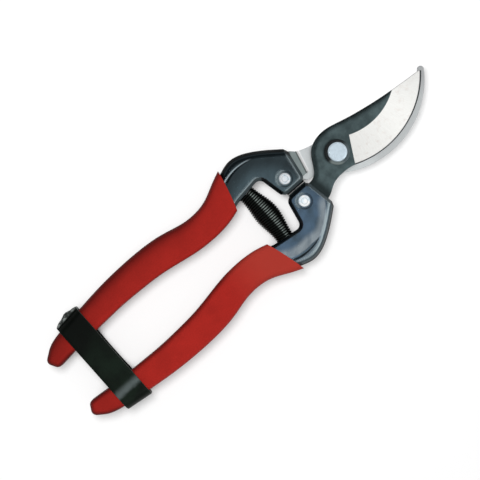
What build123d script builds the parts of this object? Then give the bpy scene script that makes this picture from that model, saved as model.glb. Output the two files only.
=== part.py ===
"""Bypass pruning shears: two blades on a pivot, channel handles with dipped grips, a barrel
return spring and a leather strap that holds the handles shut."""
import math
import os

from build123d import *

# Driving dimensions, in millimetres and degrees. The pivot axis is Z through the origin, the
# table is z = 0, the tip points along +X and the counter blade's handle lies on the +Y side.
MID = 8.0  # height of the plane where the two blades meet
PLATE = 3.0  # each blade, from that plane to its outer face
SLIDE = 0.05  # half of the sliding gap between the blades
SHEET = 1.8  # pressed sheet of the handles
SHELL = PLATE + 0.05 + SHEET  # half height of a handle channel
BEND = 3.2  # radius of the handle's folded outer edge
COIN = 1.25  # bevelled rim of the handle's open edges
WALL = 1.4  # dipped grip over the handle
GRIP = 6.25  # half height of a grip
GRIP_EDGE = 2.2  # rounding of a grip's edges
FIT = 0.05  # assembly gap between parts that do not move on each other

BOLT_R, BOLT_HEAD_R, BOLT_HEAD = 3.0, 4.1, 2.2
WASHER_R, WASHER = 5.4, 0.8
LOCK_R, LOCK = 5.2, 0.95
NUT_FLATS, NUT = 10.0, 3.95
RIVET_X, RIVET_Y, RIVET_R, RIVET_HEAD_R = -24.0, 6.2, 1.6, 2.5
DIMPLE_R, DIMPLE = 3.3, 0.5

EDGE_C, EDGE_R = (18.36, 27.66), 39.9  # circle of the cutting edge
GRIND_C, GRIND_R, EDGE_LAND = (19.5, 27.5), 27.45, 0.3  # circle where the ground bevel starts, and its edge
HEEL, HEEL_TOP = (2.28, -8.88), (8.58, 2.37)  # line where the ground bevel begins

SEAT_X, SEAT_Y, SEAT_TILT = -40.2, 12.37, 7.8  # middle and slope of a spring seat
WIRE, TURNS = 0.8, 18
COIL_END_R, COIL_MID_R = 3.4, 5.05  # middle of the wire, at the ends and in the barrel
POST_R, NOSE_R, NOSE = 2.8, 2.25, 4.0

STRAP_T = 1.4
STRAP_REAR, STRAP_FRONT = -137.0, -125.0
STRAP_REAR_Y, STRAP_FRONT_Y = 22.6, 24.2  # half widths of the loop outside
STRAP_CORNER = 3.8
LAP = 0.8  # second layer where the strap's ends lap
ARCH, ARCH_Y = 1.6, 10.0  # rise and half width of the strap's lower run between the grips
STUD_R, STUD_HEAD_R, STUD_HEAD = 1.4, 2.8, 0.6

# Half outlines of a handle from above: its folded back, its hollow side and its front lobe.
BACK = [(-15.1, 15.3), (-21.25, 20.15), (-27.5, 24.35), (-31.75, 26.4), (-37, 27.3), (-42.5, 25.85),
        (-48, 23.5), (-55, 20.25), (-62, 18.95), (-69, 19.35), (-78, 21.45), (-90, 22.85),
        (-102, 22.95), (-116, 22.05), (-130, 20.3), (-140, 18.5), (-145, 16.3)]
HOLLOW = [(-145.2, 11.5), (-138, 12.0), (-122, 12.65), (-110, 13.05), (-100, 12.75), (-90, 12.05),
          (-80, 10.45), (-71, 8.95), (-64, 8.5), (-57, 8.8), (-50, 10.2), (-44, 11.85)]
LOBE = [(-31.8, 13.52), (-29.1, 0.7), (-17.6, 0.7)]
LOBE_R = [2.6, 3.2, 2.5]
CREASE = [(-44.0, 21.35), (-37.2, 22.8), (-30.0, 21.8)]  # pressed line beside the folded back
CREASE_DEPTH, CREASE_SLOPE, CREASE_FADE = 0.12, 12.0, 0.9
STOP_REAR, STOP_FRONT, STOP_GAP = -27.4, -18.5, 0.15  # where the tangs meet, half a gap apart, when shut


def beside(edge, gap, count):
    """Points that run along an edge, a gap to its left."""
    points = []
    for i in range(count + 1):
        p, t = edge @ (i / count), edge % (i / count)
        points.append((p.X - gap * t.Y, p.Y + gap * t.X))
    return points


def level(z):
    return Plane.XY.offset(z)


# One handle, filled: its outline drawn up to both faces, with the folded outer edge rounded.
with BuildSketch(level(MID)) as plan:
    with BuildLine():
        back = Spline(*BACK)
        Line(BACK[-1], HOLLOW[0])
        lobe = FilletPolyline(HOLLOW[-1], *LOBE, BACK[0], radius=LOBE_R)
        hollow = Spline(*HOLLOW, tangents=[(1, 0.05), lobe % 0], tangent_scalars=[1, 1])
    make_face()

with BuildPart() as filled:
    extrude(plan.sketch, amount=SHELL, both=True)
    faces = filled.faces().sort_by(Axis.Z)
    fillet([faces[i].edges().sort_by(SortBy.LENGTH)[-1] for i in (0, -1)], BEND)
    faces = filled.faces().filter_by(Axis.Z).sort_by(Axis.Z)
    rim = [e for i in (0, -1) for e in faces[i].edges() if e.center().X > -31.6 and e.center().Y < 13]
    chamfer(rim, COIN)


def channel_room(gap):
    """The space behind a handle's folded back, as far as the middle of the shears."""
    inside = beside(back, gap, 28)
    lead = back % 0
    start = (inside[0][0] - 8 * lead.X, inside[0][1] - 8 * lead.Y)
    with BuildSketch(level(MID)) as room:
        with BuildLine():
            Line(start, inside[0])
            Spline(*inside)
            Polyline(inside[-1], (inside[-1][0], -2), (start[0], -2), start)
        make_face()
    return room.sketch


def tang_plan():
    """The part of a blade's tang that fills the front lobe of its handle."""
    with BuildSketch(level(MID)) as tang:
        add(plan.sketch)
        add(channel_room(SHEET + FIT), mode=Mode.INTERSECT)
        with Locations((-22, 15.3)):
            Rectangle(14, 28, mode=Mode.INTERSECT)
        with Locations((STOP_REAR, STOP_GAP)):
            Rectangle(STOP_FRONT - STOP_REAR, 1.3, align=Align.MIN)
    return tang.sketch


# A shallow V along the crease of both faces, tilted so that it fades out towards the front.
crease = ThreePointArc(*CREASE)
face = Plane(origin=(crease.arc_center.X, crease.arc_center.Y, MID + SHELL)).rotated((0, -CREASE_FADE, 0))
with BuildPart() as press:
    with BuildSketch(Plane(origin=face.origin, x_dir=face.x_dir, z_dir=-face.y_dir)):
        rise = 2 * CREASE_DEPTH
        spread = rise / math.tan(math.radians(CREASE_SLOPE))
        Polygon((crease.radius - spread, rise - CREASE_DEPTH), (crease.radius, -CREASE_DEPTH),
                (crease.radius + spread, rise - CREASE_DEPTH), align=None)
    revolve(axis=Axis(face.origin, face.z_dir))
    with BuildSketch(level(MID)):
        with Locations((CREASE[0][0], CREASE[0][1] - 2)):
            Rectangle(CREASE[-1][0] - CREASE[0][0] + 3, 5, align=Align.MIN)
    extrude(amount=2 * SHELL, mode=Mode.INTERSECT)
    mirror(about=level(MID))

post_axis = (-math.sin(math.radians(SEAT_TILT)), math.cos(math.radians(SEAT_TILT)), 0)
seat = Plane(origin=(SEAT_X, SEAT_Y, MID), x_dir=(0, 0, 1), z_dir=post_axis)

# A channel handle: open along its hollow side, creased, with its rivet and post holes.
with BuildPart() as channel:
    add(filled.part)
    add(press.part, mode=Mode.SUBTRACT)
    extrude(channel_room(SHEET), amount=PLATE + FIT, both=True, mode=Mode.SUBTRACT)
    with Locations((RIVET_X, RIVET_Y, MID)):
        Cylinder(RIVET_R + 0.02, 4 * SHELL, mode=Mode.SUBTRACT)
    with Locations((RIVET_X, RIVET_Y, MID + SHELL)):
        Cylinder(DIMPLE_R, 2 * DIMPLE, mode=Mode.SUBTRACT)
    with Locations(seat.offset(14)):
        Cylinder(1.55, 10, mode=Mode.SUBTRACT)

# The strap's fixing stud goes through the hook handle's back, square to the strap.
strap_slope = math.atan2(STRAP_FRONT_Y - STRAP_REAR_Y, STRAP_FRONT - STRAP_REAR)
stud_mid = ((STRAP_REAR + STRAP_FRONT) / 2, (STRAP_REAR_Y + STRAP_FRONT_Y) / 2, MID)
stud = Plane(origin=stud_mid, x_dir=(math.cos(strap_slope), math.sin(strap_slope), 0),
             z_dir=(-math.sin(strap_slope), math.cos(strap_slope), 0))

with BuildPart() as hook_handle:
    add(channel.part)
    with Locations(stud):
        Cylinder(STUD_R + FIT, 14, mode=Mode.SUBTRACT)

with BuildPart() as blade_handle:
    mirror(channel.part, about=Plane.XZ)

# A dipped grip: an even skin round the handle behind a curved front edge.
with BuildPart() as grip:
    with BuildSketch(level(MID)) as skin:
        with BuildLine():
            far = FilletPolyline((-146.0, 17.66), (-150.25, 14.6), (-147.4, 9.5), (-143.0, 9.9), radius=2.4)
            Spline(*beside(back, -WALL, 30)[3:29], far @ 0, tangents=[back % 0.1, far % 0],
                   tangent_scalars=[1, 1])
            inner = Spline(far @ 1, *beside(hollow, -WALL, 20)[2:], tangents=[far % 1, hollow % 1],
                           tangent_scalars=[1, 1])
            Line(inner @ 1, beside(back, -WALL, 30)[3])
        make_face()
        with BuildLine():
            front = ThreePointArc((-42.5, 29), (-45.2, 17.3), (-49.0, 6))
            Polyline(front @ 1, (-160, 6), (-160, 29), front @ 0)
        make_face(mode=Mode.INTERSECT)
    extrude(amount=GRIP, both=True)
    faces = grip.faces().filter_by(Axis.Z).sort_by(Axis.Z)
    fillet([e for i in (0, -1) for e in faces[i].edges() if e.center().X < -50], GRIP_EDGE)
    add(filled.part, mode=Mode.SUBTRACT)

with BuildPart() as hook_grip:
    add(grip.part)
    with Locations(stud):
        Cylinder(STUD_R + FIT, 14, mode=Mode.SUBTRACT)

with BuildPart() as blade_grip:
    mirror(grip.part, about=Plane.XZ)

# The counter blade: a hooked plate, with a full-thickness shoulder and tang behind a lap step.
with BuildPart() as counter_blade:
    with BuildSketch(level(MID - PLATE)):
        with BuildLine():
            Spline((-18.2, 1.4), (-15.2, -0.9), (-13.2, -1.3), (-11.2, -3.6), (-8.2, -6.7), (-3.43, -8.33))
            ThreePointArc((-3.43, -8.33), (20.1, -14.85), (50.8, 2.0))
            ThreePointArc((50.8, 2.0), (50.85, 3.8), (49.2, 4.3))
            ThreePointArc((49.2, 4.3), (27, -7.2), (7.8, -3.9))
            ThreePointArc((7.8, -3.9), (6.17, 6.17), (-1.5, 8.6))
            Spline((-1.5, 8.6), (-5.9, 9.4), (-10.1, 10.6), (-13.2, 12.0))
            Polyline((-13.2, 12.0), (-20, 12.0), (-20, 1.4), (-18.2, 1.4))
        make_face()
    extrude(amount=PLATE - SLIDE)
    with BuildSketch(level(MID)):
        Polygon((-12.2, 11.5), (-13.2, 12.0), (-15.1, 13.9), (-15.55, 12.2), (-20, 12.2), (-20, 2.0),
                (-14.55, 2.1), align=None)
        add(tang_plan())
    extrude(amount=PLATE, both=True)
    step = counter_blade.edges().filter_by(Axis.Z, reverse=True).group_by(Axis.Z)[-1]
    chamfer(step.sort_by_distance((-13.4, 7.0, MID + PLATE))[0], 0.9)
    with Locations((0, 0, MID)):
        Cylinder(BOLT_R + 0.02, 20, mode=Mode.SUBTRACT)
    with Locations((RIVET_X, RIVET_Y, MID)):
        Cylinder(RIVET_R + 0.02, 20, mode=Mode.SUBTRACT)

# The cutting blade lies on the counter blade. Its bevel is a cone, nearly about the edge circle's axis.
fall = (PLATE - SLIDE - EDGE_LAND) / (EDGE_R - GRIND_R)
with BuildPart() as grind:
    with BuildSketch(Plane(origin=(*GRIND_C, MID), x_dir=(0, -1, 0), z_dir=(-1, 0, 0))):
        Polygon((GRIND_R, PLATE), (GRIND_R + 16, PLATE - 16 * fall), (GRIND_R + 16, 9), (GRIND_R, 9),
                align=None)
    revolve(axis=Axis((*GRIND_C, 0), (0, 0, 1)))
    with BuildSketch(level(MID - 5)):
        run = (HEEL_TOP[0] - HEEL[0], HEEL_TOP[1] - HEEL[1])
        Polygon((HEEL[0] - run[0], HEEL[1] - run[1]), (70, -30), (70, 30),
                (HEEL_TOP[0] + run[0], HEEL_TOP[1] + run[1]), align=None)
    extrude(amount=30, mode=Mode.INTERSECT)

with BuildPart() as cutting_blade:
    with BuildSketch(level(MID + SLIDE)):
        with BuildLine():
            ThreePointArc(HEEL, (EDGE_C[0], EDGE_C[1] - EDGE_R), (49.5, 2.35))
            Line((49.5, 2.35), (48.8, 3.1))
            Spline((48.8, 3.1), (40, 3.85), (30, 4.97), (20, 6.6), (10, 8.82), (2, 10.6), (-3, 10.2),
                   (-7.3, 8.15), (-10.75, 3.45), (-13.4, -0.45), (-18.2, -1.8))
            Polyline((-18.2, -1.8), (-20, -2), (-20, -12.2), (-16.6, -12.2))
            Spline((-16.6, -12.2), (-12.8, -10.8), (-9.9, -9.1), (-6, -8.15), (-1.5, -8.15), HEEL)
        make_face()
    extrude(amount=PLATE - SLIDE)
    with BuildSketch(level(MID)):
        mirror(tang_plan(), about=Plane.XZ)
        with Locations((-18.2, -7.1)):
            Rectangle(3.6, 10.2)
    extrude(amount=PLATE, both=True)
    add(grind.part, mode=Mode.SUBTRACT)
    with Locations((0, 0, MID)):
        Cylinder(BOLT_R + 0.06, 20, mode=Mode.SUBTRACT)
    with Locations((RIVET_X, -RIVET_Y, MID)):
        Cylinder(RIVET_R + 0.02, 20, mode=Mode.SUBTRACT)

# A handle rivet through both sheets and the tang, its head sunk in a pressed dimple.
with BuildPart() as hook_rivet:
    with Locations((RIVET_X, RIVET_Y, MID - SHELL - FIT)):
        Cylinder(RIVET_R, 2 * SHELL, align=(Align.CENTER, Align.CENTER, Align.MIN))
        Cylinder(RIVET_HEAD_R - 0.1, 0.9, align=(Align.CENTER, Align.CENTER, Align.MAX))
    with Locations((RIVET_X, RIVET_Y, MID + SHELL - DIMPLE + FIT)):
        Cylinder(RIVET_HEAD_R, 1.3, align=(Align.CENTER, Align.CENTER, Align.MIN))
    fillet(hook_rivet.edges().sort_by(Axis.Z)[-1], 0.7)
    fillet(hook_rivet.edges().sort_by(Axis.Z)[0], 0.5)

with BuildPart() as blade_rivet:
    mirror(hook_rivet.part, about=Plane.XZ)

# The pivot: a flat-headed bolt with a washer on the blade, a lock washer and a nut below.
with BuildPart() as pivot_bolt:
    head_z = MID + PLATE + 2 * FIT + WASHER
    Cylinder(BOLT_R, head_z, align=(Align.CENTER, Align.CENTER, Align.MIN))
    with Locations((0, 0, head_z)):
        Cylinder(BOLT_HEAD_R, BOLT_HEAD, align=(Align.CENTER, Align.CENTER, Align.MIN))
    fillet(pivot_bolt.edges().sort_by(Axis.Z)[-1], 0.6)

with BuildPart() as pivot_washer:
    with Locations((0, 0, MID + PLATE + FIT)):
        Cylinder(WASHER_R, WASHER, align=(Align.CENTER, Align.CENTER, Align.MIN))
        Cylinder(BOLT_R + 0.1, 4, mode=Mode.SUBTRACT)
    fillet(pivot_washer.edges().filter_by(GeomType.CIRCLE).sort_by(Axis.Z)[-2:].sort_by(SortBy.RADIUS)[-1], 0.3)

with BuildPart() as pivot_lock_washer:
    with Locations((0, 0, MID - PLATE - FIT)):
        Cylinder(LOCK_R, LOCK - FIT, align=(Align.CENTER, Align.CENTER, Align.MAX))
        Cylinder(BOLT_R + 0.1, 4, mode=Mode.SUBTRACT)

with BuildPart() as pivot_nut:
    with BuildSketch():
        RegularPolygon(NUT_FLATS / 2, 6, major_radius=False)
        Circle(BOLT_R + 0.02, mode=Mode.SUBTRACT)
    extrude(amount=NUT)

# A spring post: riveted in the handle's back, its nose inside the end coils.
with BuildPart() as hook_spring_post:
    with Locations(seat.offset(0.3)):
        Cylinder(POST_R, 10.5, align=(Align.CENTER, Align.CENTER, Align.MIN))
        Cylinder(NOSE_R, NOSE + 0.3, align=(Align.CENTER, Align.CENTER, Align.MAX))
    fillet(hook_spring_post.edges().filter_by(GeomType.CIRCLE).sort_by(Axis.Y)[0], 0.7)
    with Locations(seat.offset(10.5)):
        Cylinder(1.5, 8, align=(Align.CENTER, Align.CENTER, Align.MIN))
    with BuildSketch(level(MID)):
        add(plan.sketch)
        Rectangle(120, 12, mode=Mode.ADD)
    extrude(amount=SHELL, both=True, mode=Mode.INTERSECT)

with BuildPart() as blade_spring_post:
    mirror(hook_spring_post.part, about=Plane.XZ)

# The return spring: a barrel coil round a slightly bowed line between the two seats.
bow = SEAT_Y / math.sin(math.radians(SEAT_TILT))
bow_x = SEAT_X - bow * math.cos(math.radians(SEAT_TILT))
half_angle = math.radians(SEAT_TILT) - (WIRE / 2 + FIT + 0.05) / bow


def coil(u):
    """Point on the middle of the spring wire, u from -1 at one end to +1 at the other."""
    swell = math.cos(math.pi / 2 * u) ** 2
    r = COIL_END_R + (COIL_MID_R - COIL_END_R) * swell
    turn, tilt = math.pi * TURNS * u, half_angle * u
    reach = bow + r * math.cos(turn)
    return Vector(bow_x + reach * math.cos(tilt), reach * math.sin(tilt), MID + r * math.sin(turn))


def heading(u):
    return (coil(u + 1e-5) - coil(u - 1e-5)).normalized()


with BuildPart() as return_spring:
    with BuildLine() as wire:
        quarters = 4 * TURNS
        Line(coil(-1) - heading(-1) * WIRE, coil(-1))
        for i in range(quarters):
            u, v = -1 + 2 * i / quarters, -1 + 2 * (i + 1) / quarters
            p, q, s, t = coil(u), coil(v), heading(u), heading(v)
            span, both, bend = q - p, s + t, 2 * (1 - s.dot(t))
            along = span.dot(both)
            arm = (math.sqrt(along ** 2 + bend * span.dot(span)) - along) / bend
            half = (p + q + (s - t) * arm) * 0.5
            TangentArc(p, half, tangent=s)
            TangentArc(half, q, tangent=(q - t * arm) - (p + s * arm))
        Line(coil(1), coil(1) + heading(1) * WIRE)
    with BuildSketch(Plane(origin=wire.line @ 0, z_dir=wire.line % 0)):
        Circle(WIRE / 2)
    sweep()

# The least gap between neighbouring turns of the wire, on points along it.
steps = 48 * TURNS
track = [coil(-1 + 2 * i / steps) for i in range(steps + 1)]
gap = min((track[i] - track[j]).length for i in range(steps + 1)
          for j in range(i + 24, min(i + 120, steps + 1))) - WIRE
print(f"return_spring: {TURNS} turns, least gap between turns {gap:.2f} mm")


def strap_band(grow):
    """A filled band round the grips, grown all round from the strap's outer face."""
    with BuildPart() as band:
        for x, y in ((STRAP_REAR, STRAP_REAR_Y), (STRAP_FRONT, STRAP_FRONT_Y)):
            with BuildSketch(Plane(origin=(x, 0, MID), x_dir=(0, 1, 0), z_dir=(1, 0, 0))):
                RectangleRounded(2 * (y + grow), 2 * (MID + grow), STRAP_CORNER + grow)
        loft(ruled=True)
    return band.part


# The strap: a leather loop round both grips, its ends lapped and studded at the hook grip. Its
# lower run bears on the table under the grips, and springs up a little between them.
arch_r = (ARCH_Y ** 2 + ARCH ** 2) / (2 * ARCH)
arch_mid = (-131, 0, ARCH - arch_r)
with BuildPart() as strap_inside:
    add(strap_band(-STRAP_T))
    with Locations(arch_mid):
        Cylinder(arch_r + STRAP_T, 40, rotation=(0, 90, 0), mode=Mode.SUBTRACT)

with BuildPart() as strap:
    add(strap_band(LAP))
    with Locations((-131, 23, MID)):
        Box(40, 12, 10, mode=Mode.INTERSECT)
    add(strap_band(0))
    with Locations(arch_mid):
        Cylinder(arch_r, 40, rotation=(0, 90, 0), mode=Mode.SUBTRACT)
    add(strap_inside.part, mode=Mode.SUBTRACT)
    with Locations(stud):
        Cylinder(STUD_R + FIT, 14, mode=Mode.SUBTRACT)
    with Locations(stud.offset(LAP - STUD_HEAD - 0.1)):
        Cylinder(STUD_HEAD_R + FIT, 4, align=(Align.CENTER, Align.CENTER, Align.MIN), mode=Mode.SUBTRACT)

with BuildPart() as strap_rivet:
    with Locations(stud.offset(LAP - STUD_HEAD - FIT)):
        Cylinder(STUD_HEAD_R, STUD_HEAD, align=(Align.CENTER, Align.CENTER, Align.MIN))
        Cylinder(STUD_R, 6.8, align=(Align.CENTER, Align.CENTER, Align.MAX))
    with Locations(stud.offset(-6.0)):
        Cylinder(1.9, 0.6, align=(Align.CENTER, Align.CENTER, Align.MAX))
    fillet(strap_rivet.edges().filter_by(GeomType.CIRCLE).sort_by(Axis.Y)[-1], 0.3)

with BuildPart() as strap_rivet_washer:
    with Locations(stud.offset(-5.1)):
        Cylinder(2.7, 0.8, align=(Align.CENTER, Align.CENTER, Align.MAX))
        Cylinder(STUD_R + FIT, 4, mode=Mode.SUBTRACT)

os.makedirs("parts", exist_ok=True)
pieces = {
    "counter_blade": counter_blade, "hook_handle": hook_handle, "hook_grip": hook_grip,
    "hook_rivet": hook_rivet, "hook_spring_post": hook_spring_post, "return_spring": return_spring,
    "pivot_bolt": pivot_bolt, "pivot_washer": pivot_washer, "pivot_lock_washer": pivot_lock_washer,
    "pivot_nut": pivot_nut, "strap": strap, "strap_rivet": strap_rivet,
    "strap_rivet_washer": strap_rivet_washer, "cutting_blade": cutting_blade,
    "blade_handle": blade_handle, "blade_grip": blade_grip, "blade_rivet": blade_rivet,
    "blade_spring_post": blade_spring_post,
}
for name, piece in pieces.items():
    piece.part.label = name
    export_step(piece.part, f"parts/{name}.step")
    print(f"{name}: {len(piece.part.solids())} solid, {piece.part.volume:.1f} mm3")
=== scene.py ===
"""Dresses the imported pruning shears: finishes for every solid, the wound return spring, the
leather strap, and a pale studio table seen from straight above."""
import math

import bmesh
import bpy
from mathutils import Matrix, Vector


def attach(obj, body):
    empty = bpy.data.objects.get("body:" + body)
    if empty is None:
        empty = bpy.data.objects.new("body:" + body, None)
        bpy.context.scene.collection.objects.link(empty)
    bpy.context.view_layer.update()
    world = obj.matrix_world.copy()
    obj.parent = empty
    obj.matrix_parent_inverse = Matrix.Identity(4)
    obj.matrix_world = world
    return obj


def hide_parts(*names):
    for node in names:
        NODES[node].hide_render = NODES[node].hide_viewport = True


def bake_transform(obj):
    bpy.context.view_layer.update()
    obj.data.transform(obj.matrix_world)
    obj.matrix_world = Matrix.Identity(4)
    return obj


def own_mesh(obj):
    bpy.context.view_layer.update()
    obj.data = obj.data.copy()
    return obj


bl_info = {
    "name": "Pruning Shears Dresser",
    "version": (1, 0, 0),
    "blender": (4, 5, 0),
    "location": "View3D > Sidebar > Shears",
    "description": "Finishes and soft pieces for a packed pair of bypass pruning shears",
    "category": "Object",
}

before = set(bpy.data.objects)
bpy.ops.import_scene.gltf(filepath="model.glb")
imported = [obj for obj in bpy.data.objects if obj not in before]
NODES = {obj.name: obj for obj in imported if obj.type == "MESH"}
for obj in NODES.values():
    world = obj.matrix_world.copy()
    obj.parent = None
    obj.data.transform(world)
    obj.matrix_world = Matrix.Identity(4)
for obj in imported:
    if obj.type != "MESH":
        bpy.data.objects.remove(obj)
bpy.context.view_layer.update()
MM = 0.001

# Places on the shears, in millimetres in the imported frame. A pair along an axis is where a change
# of finish starts and where it is complete.
PIVOT = (0.0, 0.0)
MID = 8.0  # height where the two blades meet
SIDES = (-0.5, 0.5)  # along Y, from the blade's side to the hook's side
EDGE_CENTRE, EDGE_RADIUS = (18.36, 27.66), 39.9  # circle of the cutting edge
GRIND_CENTRE, GRIND_RADIUS = (19.5, 27.5), 27.45  # circle where the ground bevel starts
HEEL, HEEL_TOP = (2.28, -8.88), (8.58, 2.37)  # line where the ground bevel begins
HOOK_ROOT, HOOK_TIP = (6.0, 14.0), (42.0, 49.0)  # along X, where the counter blade grows duller
STEP = ((-14.55, 2.1), (-12.2, 11.5))  # foot of the counter blade's lap step
STEP_END = (1.3, 2.8)  # along Y, where the bright line at that foot begins
STOP_X, STOP_Y = (-18.4, -18.2), (0.75, 1.0)  # the tang's stop lies behind and below these
LOBE_FRONT = ((-15.1, -15.3), (-17.6, -0.7))  # front edge of the blade's handle
RIVET = (-24.0, 6.2)
CREASE = ((-44.0, 21.35), (-37.2, 22.8), (-30.0, 21.8))  # pressed crease of a handle
CREASE_END = (-31.0, -28.5)  # along X, where its line runs out
HANDLE_BEND = (-34.0, -27.0)  # along X, where a handle bends into its front lobe
GRIP_BACK = ((-150.0, 16.5), (-145.0, 18.7), (-140.0, 20.3), (-125.0, 22.5), (-110.0, 24.0),
             (-95.0, 24.4), (-85.0, 24.0), (-77.0, 22.8), (-70.0, 21.1), (-63.5, 20.4), (-57.5, 21.2),
             (-52.5, 23.2), (-45.0, 26.8))  # outer edge of a grip
GRIP_WIDEST = 30.0  # more than any of those edges
GRIP_FLARE, GRIP_FRONT = (-75.0, -58.0), (-75.0, -52.0)  # along X, towards a grip's front end
GRIP_TIP = (-142.0, -134.0)  # along X, from a grip's rear end forward
SEAT, SEAT_TILT = (-40.2, 12.37), math.radians(7.8)  # middle and slope of the hook's spring seat
SEAT_GAP = 0.06  # between a seat and the spring's ground end
STRAP_REAR, STRAP_FRONT = -137.0, -125.0
STRAP_REAR_Y, STRAP_FRONT_Y = 22.6, 24.2  # half widths of the loop outside
STRAP_SPLAY = (STRAP_FRONT_Y - STRAP_REAR_Y) / (STRAP_FRONT - STRAP_REAR)
STRAP_LEAN = 0.7  # how far the lower run lies behind the upper one
ARCH, ARCH_Y = 1.6, 10.0  # rise and half width of the strap's lower run
LAP = 0.8  # second layer of leather under the rivet's head
LAP_START, LAP_LENGTH = 0.190, 0.112  # where the lap lies, as shares of the loop
LAP_EDGE, LAP_LEAST, LAP_GAP = 0.16, 0.14, 0.02  # lap's edges, thinnest leather, and gap to the strap
LAP_SWELL, LAP_LUMPS = 1.35, 0.22  # rise of the lap between its edges, and how uneven that is
LAP_TAPER = (0.25, 5.0)  # share of the thickness at the lap's ends, and how fast it grows from there
SECTION_FLAT = [0.035 + 0.093 * k for k in range(11)]  # places across the strap on its flat faces
SECTION_EDGE = [(0.99, 0.09), (1.0, 0.31), (1.0, 0.69), (0.99, 0.91)]  # across and deep, round its edge
RIVET_HOLE = (1.47, -4.0, 1.2)  # radius, and reach from inside to outside the strap's outer face
HEAD_HOLE = (2.88, LAP - 0.7, 4.0)

# Colours of marks, wear, painted shade and painted highlights, beside the main colours that can be set.
WHITE = (1.0, 1.0, 1.0)
BLACKENED_AND_SHADE = (0.004, 0.006, 0.006)
BEVEL_STAIN = (0.70, 0.64, 0.60)
EDGE_SHADE = (0.05, 0.055, 0.06)
HOOK_SOFT, HOOK_BRIGHT, HOOK_DULL = (0.80, 0.85, 0.86), (0.92, 0.96, 0.965), (0.60, 0.62, 0.63)
SHOULDER_DARK, SHOULDER_LIGHT = (0.22, 0.27, 0.27), (0.42, 0.49, 0.49)
STEP_SHADE = (0.15, 0.18, 0.175)
HOOK_RIM_SHADE = (0.22, 0.24, 0.24)
CROWN_SHEEN, BACK_SHEEN, CREASE_SHEEN = (0.36, 0.42, 0.46), (0.24, 0.30, 0.34), (0.30, 0.36, 0.39)
RIM_HIGHLIGHT, RIM_GLINT = (0.060, 0.080, 0.086), (0.30, 0.37, 0.39)
GRIP_FRONT_RED = (0.395, 0.040, 0.027)
WASHER_HAZE, WASHER_LIT_SIDE, WASHER_GLINT = (0.022, 0.027, 0.028), (0.095, 0.125, 0.135), (0.19, 0.225, 0.22)
OIL_DARK, OIL_LIGHT = (0.006, 0.008, 0.007), (0.020, 0.024, 0.022)
LEATHER_HIGHLIGHT, LEATHER_CUT = (0.115, 0.140, 0.140), (0.050, 0.060, 0.055)
LEATHER_WEAR_AND_SHEEN = (0.240, 0.268, 0.255)

# The stage in metres, but spans on the table and the picture in millimetres.
STAGE_MIDDLE = (-0.05, 0, 0.01)
TABLE_AT, TABLE_HALF = (-0.05, 0, -0.0002), 1.6
TABLE_PAINT, TABLE_NEAR = (0.56, 0.56, 0.56, 1), (0.565, 0.565, 0.565)
TABLE_GLOW = 0.85
TABLE_FAR = (160.0, 420.0)  # from the table's middle, where it turns white
SHADE_SPAN = 7.0  # how near a piece darkens the table's glow
KEY_AT, KEY_SIZE = (-0.07, 0.14, 0.74), 0.24
# Level of the studio's cards by how far a direction points across the shears.
CARDS = ((-1.0, 0.04), (-0.70, 0.06), (-0.60, 0.40), (-0.52, 1.0), (-0.30, 1.0), (-0.20, 0.88),
         (-0.08, 0.64), (0.0, 0.54), (0.08, 0.42), (0.22, 0.13), (0.40, 0.03), (1.0, 0.02))
CARD_LEVEL, LOW_LEVEL, SPARK_LEVEL = 1.19, 0.42, 1.6  # cards overhead, low directions, small bright card
TURN = math.radians(41.54)  # how far the shears are turned in the picture
PICTURE_MIDDLE, PICTURE_WIDTH = (-55.05, -0.54, 11.0), 201.6  # what the picture takes in
LENS, SENSOR = 130, 36
CLIP = 0.05  # nearest that the camera sees, in metres


class Socket:
    """A node's output, so that shader sums read as ordinary sums."""

    def __init__(self, finish, out):
        self.finish, self.out = finish, out

    def _sum(self, operation, a, b):
        return self.finish.node("ShaderNodeMath", {"operation": operation}, {0: a, 1: b})

    def __add__(self, other):
        return self._sum("ADD", self, other)

    def __sub__(self, other):
        return self._sum("SUBTRACT", self, other)

    def __rsub__(self, other):
        return self._sum("SUBTRACT", other, self)

    def __mul__(self, other):
        return self._sum("MULTIPLY", self, other)

    def __truediv__(self, other):
        return self._sum("DIVIDE", self, other)

    def __rtruediv__(self, other):
        return self._sum("DIVIDE", other, self)

    def __pow__(self, other):
        return self._sum("POWER", self, other)

    def __rpow__(self, other):
        return self._sum("POWER", other, self)

    def __or__(self, other):
        return self._sum("MAXIMUM", self, other)

    __radd__, __rmul__, __ror__ = __add__, __mul__, __or__


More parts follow.
